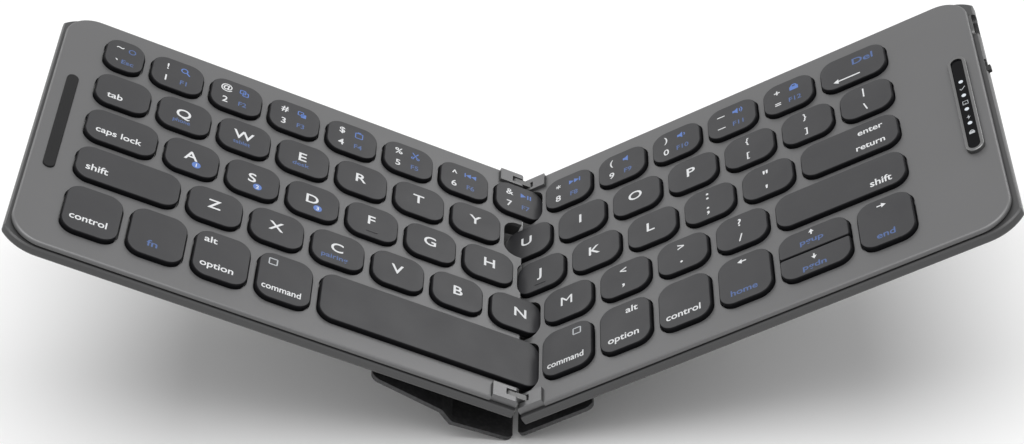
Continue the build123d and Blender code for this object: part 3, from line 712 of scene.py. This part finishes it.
def numberKey(upper, lower, name, function):
    look = numberLook
    return [
        plainMark(upper, look["x"], look["y"], look["tall"]),
        plainMark(lower, look["x"], -look["y"], look["tall"]),
        sign(name, look["signX"], look["y"], look["signSize"], "badge"),
        word(function, look["signX"], -look["y"], look["underTall"], colour="blue"),
    ]


def pairKey(upper, lower):
    marks = []
    for text, y in ((upper, pairLook["up"]), (lower, pairLook["down"])):
        tall = [size for group, size in pairLook["tall"].items() if text in group][0]
        marks.append(word(text, pairLook["x"], y, tall))
    return marks


legends = {
    "left_number_keys": (left, [
        numberKey("!", "1", "find", "F1"), numberKey("@", "2", "pages", "F2"),
        numberKey("#", "3", "copy", "F3"), numberKey("$", "4", "paste", "F4"),
        numberKey("%", "5", "cut", "F5"), numberKey("^", "6", "back", "F6"),
        numberKey("&", "7", "play", "F7")]),
    "left_top_keys": (left, [
        layoutKey("Q", "phone"), layoutKey("W", "tablet"), layoutKey("E", "desk"),
        letterKey("R"), letterKey("T"), letterKey("Y")]),
    "left_home_keys": (left, [
        channelKey("A", "1"), channelKey("S", "2"), channelKey("D", "3"),
        letterKey("F"), letterKey("G"), letterKey("H", shift=0.5)]),
    "left_bottom_keys": (left, [
        letterKey("Z"), letterKey("X"),
        letterKey("C", word("pairing", -0.8, -3.3, 1.7, 7.4, "blue")),
        letterKey("V"), letterKey("B", shift=0.4), letterKey("N", shift=1.5)]),
    "right_number_keys": (right, [
        numberKey("*", "8", "next", "F8"), numberKey("(", "9", "quiet", "F9"),
        numberKey(")", "0", "softer", "F10"), numberKey("_", "-", "louder", "F11"),
        numberKey("+", "=", "lock", "F12")]),
    "right_top_keys": (right, [letterKey(letter) for letter in "UIOP"] + [
        pairKey("{", "["), pairKey("}", "]"), pairKey("|", "\\")]),
    "right_home_keys": (right, [letterKey(letter) for letter in "JKL"] + [
        pairKey(":", ";"), pairKey('"', "'")]),
    "right_bottom_keys": (right, [
        letterKey("M"), pairKey("<", ","), pairKey(">", "."), pairKey("?", "/")]),
    "key_tilde": (left, [[
        word("~", -1.7, 2.9, 2.6), word("`", -2.0, -2.6, 2.6),
        sign("circle", 1.7, 2.5, 2.3), word("Esc", 1.1, -2.8, 1.7, 3.4, "blue")]]),
    "key_tab": (left, [[word("tab", 3.3, -2.35, 2.35, 4.3, hold="left")]]),
    "key_caps_lock": (left, [[word("caps lock", 2.8, -1.8, 2.3, 12.4, hold="left")]]),
    "key_left_shift": (left, [[word("shift", 2.8, -1.7, 2.5, 5.9, hold="left")]]),
    "key_left_control": (left, [[word("control", -0.6, -3.3, 2.35, 9.7)]]),
    "key_fn": (left, [[word("fn", -0.9, -3.9, 2.3, 2.8, "blue")]]),
    "key_left_option": (left, [[
        word("alt", -3.5, 5.2, 2.3, 3.5), word("option", -0.9, -4.0, 2.3, 8.9)]]),
    "key_left_command": (left, [[
        sign("box", -3.7, 5.0, 2.7, "grey"), word("command", -0.6, -4.4, 2.2, 10.6)]]),
    "key_delete": (right, [[
        word("Del", 3.1, 2.2, 2.6, 6.0, "blue"),
        sign("longArrow", -2.0, -3.7, 1.75, "white")]]),
    "key_enter": (right, [[
        word("enter", -3.9, 2.9, 2.2, 7.0, hold="right"),
        word("return", -3.9, -3.0, 2.2, 8.0, hold="right")]]),
    "key_right_shift": (right, [[word("shift", -3.9, -3.0, 2.5, 5.9, hold="right")]]),
    "key_right_command": (right, [[
        sign("box", 3.0, 5.1, 2.7, "grey"), word("command", -0.4, -4.2, 2.2, 10.6)]]),
    "key_right_option": (right, [[
        word("alt", 2.1, 5.2, 2.3, 3.5), word("option", -0.5, -4.1, 2.3, 8.9)]]),
    "key_right_control": (right, [[word("control", -0.4, -4.2, 2.35, 9.7)]]),
    "key_arrow_left": (right, [[
        sign("arrowLeft", -0.4, 6.0, 2.0, "white"),
        word("home", -0.4, -4.7, 2.1, 7.4, "blue")]]),
    "key_arrow_right": (right, [[
        sign("arrowRight", -0.5, 5.8, 2.0, "white"),
        word("end", -0.4, -5.0, 2.2, 4.9, "blue")]]),
    "key_arrow_up": (right, [[
        sign("arrowUp", -0.3, 2.3, 1.7, "white"),
        word("pgup", -0.4, -0.6, 1.9, 6.4, "blue")]]),
    "key_arrow_down": (right, [[
        sign("arrowDown", -0.3, 1.5, 1.7, "white"),
        word("pgdn", -0.4, -1.5, 1.9, 6.4, "blue")]]),
}
# Millimetres from key to key, from cap to print, and from a cap's top to its walls
legendLook = {"pitch": 17.0, "lift": 0.012, "topBand": 0.6}
inks = ["white", "blue", "badge", "grey"]


def surfacePiece(name, body, points, faces, palette, paint=None):
    mesh = bpy.data.meshes.new(name)
    mesh.from_pydata(np.asarray(points).tolist(), [], faces)
    for colour in palette:
        mesh.materials.append(materials[colour])
    if paint is not None:
        mesh.polygons.foreach_set("material_index", paint)
    mesh.update()
    piece = bpy.data.objects.new(name, mesh)
    bpy.context.scene.collection.objects.link(piece)
    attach(piece, body)
    return piece


def facingUp(points, faces):
    # turn every face so that its outline runs anticlockwise on the deck
    fixed = []
    for face in faces:
        x, y = points[face, 0], points[face, 1]
        area = np.sum(x * np.roll(y, -1) - np.roll(x, -1) * y)
        fixed.append(face if area > 0 else face[::-1])
    return fixed


def capBoxes(side, name, count):
    # equal caps in a row: each one's edges and middle, and the height of their tops
    points = nodePoints(side, name)
    top = points[:, 2].max()
    tops = points[points[:, 2] > top - legendLook["topBand"]]
    low, high = tops.min(0), tops.max(0)
    width = high[0] - low[0] - (count - 1) * legendLook["pitch"]
    boxes = []
    for i in range(count):
        edge = low[0] + i * legendLook["pitch"]
        boxes.append((edge, edge + width, (low[1] + high[1]) / 2))
    return boxes, top


def printLegends(name, side, keys):
    boxes, top = capBoxes(side, name, len(keys))
    points, faces, paint = [], [], []
    for (leftEdge, rightEdge, middleY), marks in zip(boxes, keys):
        middleX = (leftEdge + rightEdge) / 2
        origin = {"left": leftEdge, "right": rightEdge, "middle": middleX}
        for mark in marks:
            start = sum(len(block) for block in points)
            shift = (origin[mark["hold"]] + mark["at"][0], middleY + mark["at"][1])
            place = mark["points"] + shift
            height = np.full((len(place), 1), top + legendLook["lift"] + mark["lift"])
            points.append(np.hstack([place, height]))
            upFaces = facingUp(mark["points"], mark["faces"])
            faces += [[start + i for i in face] for face in upFaces]
            paint += [inks.index(mark["colour"])] * len(upFaces)
    places = toModel(side, np.concatenate(points))
    piece = surfacePiece("legends_" + name, name, places, faces, inks, paint)


for name, (side, keys) in legends.items():
    printLegends(name, side, keys)


# Homing bars on F and J, in millimetres
homing = {
    "length": 3.6, "width": 0.55, "rise": 0.22, "y": -4.1, "sink": 0.03,
    "alongCount": 25, "aroundCount": 9, "endPower": 6,
}


def homingBar(name, side, body, index, count):
    # a low ridge: half an ellipse across, carried along x and rounded off at its ends
    boxes, top = capBoxes(side, body, count)
    leftEdge, rightEdge, middleY = boxes[index]
    u = np.linspace(-1, 1, homing["alongCount"])[:, None]
    v = np.linspace(0, np.pi, homing["aroundCount"])[None, :]
    taper = np.sqrt(np.clip(1 - np.abs(u) ** homing["endPower"], 0, 1))
    x = (leftEdge + rightEdge) / 2 + u * homing["length"] / 2 + 0 * v
    y = middleY + homing["y"] + taper * np.cos(v) * homing["width"] / 2
    z = top - homing["sink"] + taper * np.sin(v) * homing["rise"] + 0 * u
    points = np.stack([x, y, z], 2).reshape(-1, 3)
    rows, columns = x.shape
    start = np.arange(rows - 1)[:, None, None] * columns
    here, last = np.arange(columns - 1), columns - 1
    arch = np.stack([here, here + columns, here + columns + 1, here + 1], 1)
    base = [[0, last, last + columns, columns]]
    faces = (start + np.concatenate([arch, base])).reshape(-1, 4).tolist()
    piece = surfacePiece(name, body, toModel(side, points), faces, ["cap"])
    piece.data.polygons.foreach_set("use_smooth", [True] * len(faces))


homingBar("homing_bar_f", left, "left_home_keys", 3, 6)
homingBar("homing_bar_j", right, "right_home_keys", 0, 5)

# Small printed marks between the light guides in the indicator window, in millimetres
indicatorLook = {
    "firstY": 6.9, "pitch": 6.1, "size": 1.7,
    "names": ["tick", "letterBox", "bolt", "lock"],
}


def indicatorMarks():
    look = indicatorLook
    window = nodePoints(right, "indicator_window")
    low, high = window.min(0), window.max(0)
    points, faces = [], []
    for i, name in enumerate(look["names"]):
        shape, outline = signs[name]
        start = sum(len(block) for block in points)
        centre = ((low[0] + high[0]) / 2, look["firstY"] - i * look["pitch"])
        place = shape * look["size"] + centre
        height = np.full((len(place), 1), high[2] + legendLook["lift"])
        points.append(np.hstack([place, height]))
        faces += [[start + j for j in face] for face in facingUp(shape, outline)]
    places = toModel(right, np.concatenate(points))
    piece = surfacePiece("indicator_marks", "right_half", places, faces, ["grey"])


indicatorMarks()
print("small marks placed")

# Floor, in metres
floorLook = {
    "half": 3.0, "tone": 0.92, "mottle": 0.99, "rough": 0.9,
    "grain": {"scale": 18.0, "detail": 3.0},
}


def plainFloor():
    half, tone, grain = [floorLook[part] for part in ("half", "tone", "grain")]
    mesh = bpy.data.meshes.new("floor")
    corners = np.array([(-1, -1, 0), (1, -1, 0), (1, 1, 0), (-1, 1, 0)]) * half
    mesh.from_pydata(corners.tolist(), [], [[0, 1, 2, 3]])
    finish = Finish("paleFloor", Roughness=floorLook["rough"])
    speck = finish.noise(grain["scale"], grain["detail"])
    dark, pale = (tone * floorLook["mottle"],) * 3, (tone,) * 3
    finish.set(Base_Color=finish.blend(speck, dark, pale))
    mesh.materials.append(finish.material)
    floor = bpy.data.objects.new("floor", mesh)
    bpy.context.scene.collection.objects.link(floor)


worldLook = {"ambient": 0.5, "shown": 1.0}


def paleWorld():
    # plain soft light for the object, and white for what the camera, the gloss and
    # clear parts see past it
    world = bpy.data.worlds.new("paleWorld")
    sky = NodeTree(world)
    camera, gloss, through = [
        sky.add("ShaderNodeLightPath", {}, {}, ray)
        for ray in ("Is Camera Ray", "Is Glossy Ray", "Is Transmission Ray")]
    lights = []
    for strength in (worldLook["ambient"], worldLook["shown"]):
        inputs = {"Color": (1, 1, 1, 1), "Strength": strength}
        lights.append(sky.add("ShaderNodeBackground", {}, inputs))
    mixed = {0: camera + gloss + through, 1: lights[0], 2: lights[1]}
    seen = sky.add("ShaderNodeMixShader", {}, mixed)
    sky.add("ShaderNodeOutputWorld", {}, {"Surface": seen}, None)
    bpy.context.scene.world = world


# Softboxes: place and size in metres, all aimed at one point just over the floor
lampAim = (0, 0, 0.02)
lampLook = {
    "topSoftbox": {"at": (0.0, -0.1, 0.8), "size": (0.9, 0.6), "watts": 5.8},
    "rearLeft": {"at": (-0.62, 0.6, 0.4), "size": (0.35, 0.3), "watts": 0.7},
    "rearRight": {"at": (0.6, 0.62, 0.5), "size": (0.35, 0.3), "watts": 1.3},
}


def lamp(name, look):
    light = bpy.data.lights.new(name, "AREA")
    light.shape, light.energy = "RECTANGLE", look["watts"]
    light.size, light.size_y = look["size"]
    holder = bpy.data.objects.new(name, light)
    bpy.context.scene.collection.objects.link(holder)
    aim = Vector(lampAim) - Vector(look["at"])
    turn = aim.to_track_quat("-Z", "Y").to_matrix().to_4x4()
    holder.matrix_world = Matrix.Translation(look["at"]) @ turn


plainFloor()
paleWorld()
for name, look in lampLook.items():
    lamp(name, look)

# Camera at the photograph's angle: place in metres, lens and sensor in millimetres
cameraLook = {
    "place": (0.02482, -0.47277, 0.42177),
    "forward": (-0.04288, 0.77504, -0.63045),
    "up": (0.02249, 0.63162, 0.77495),
    "lens": 80.84,
    "sensor": 36.0,
    "near": 0.02,
    "far": 20.0,
}


def photoCamera():
    look = cameraLook
    camera = bpy.data.cameras.new("camera")
    camera.lens, camera.sensor_width = look["lens"], look["sensor"]
    camera.sensor_fit = "HORIZONTAL"
    camera.clip_start, camera.clip_end = look["near"], look["far"]
    holder = bpy.data.objects.new("camera", camera)
    bpy.context.scene.collection.objects.link(holder)
    backward = -Vector(look["forward"]).normalized()
    sideways = Vector(look["up"]).cross(backward).normalized()
    upright = backward.cross(sideways)
    turn = Matrix((sideways, upright, backward)).transposed().to_4x4()
    holder.matrix_world = Matrix.Translation(look["place"]) @ turn
    bpy.context.scene.camera = holder


photoCamera()
bpy.context.scene.view_settings.view_transform = "Standard"
print("studio set")

bpy.context.view_layer.update()
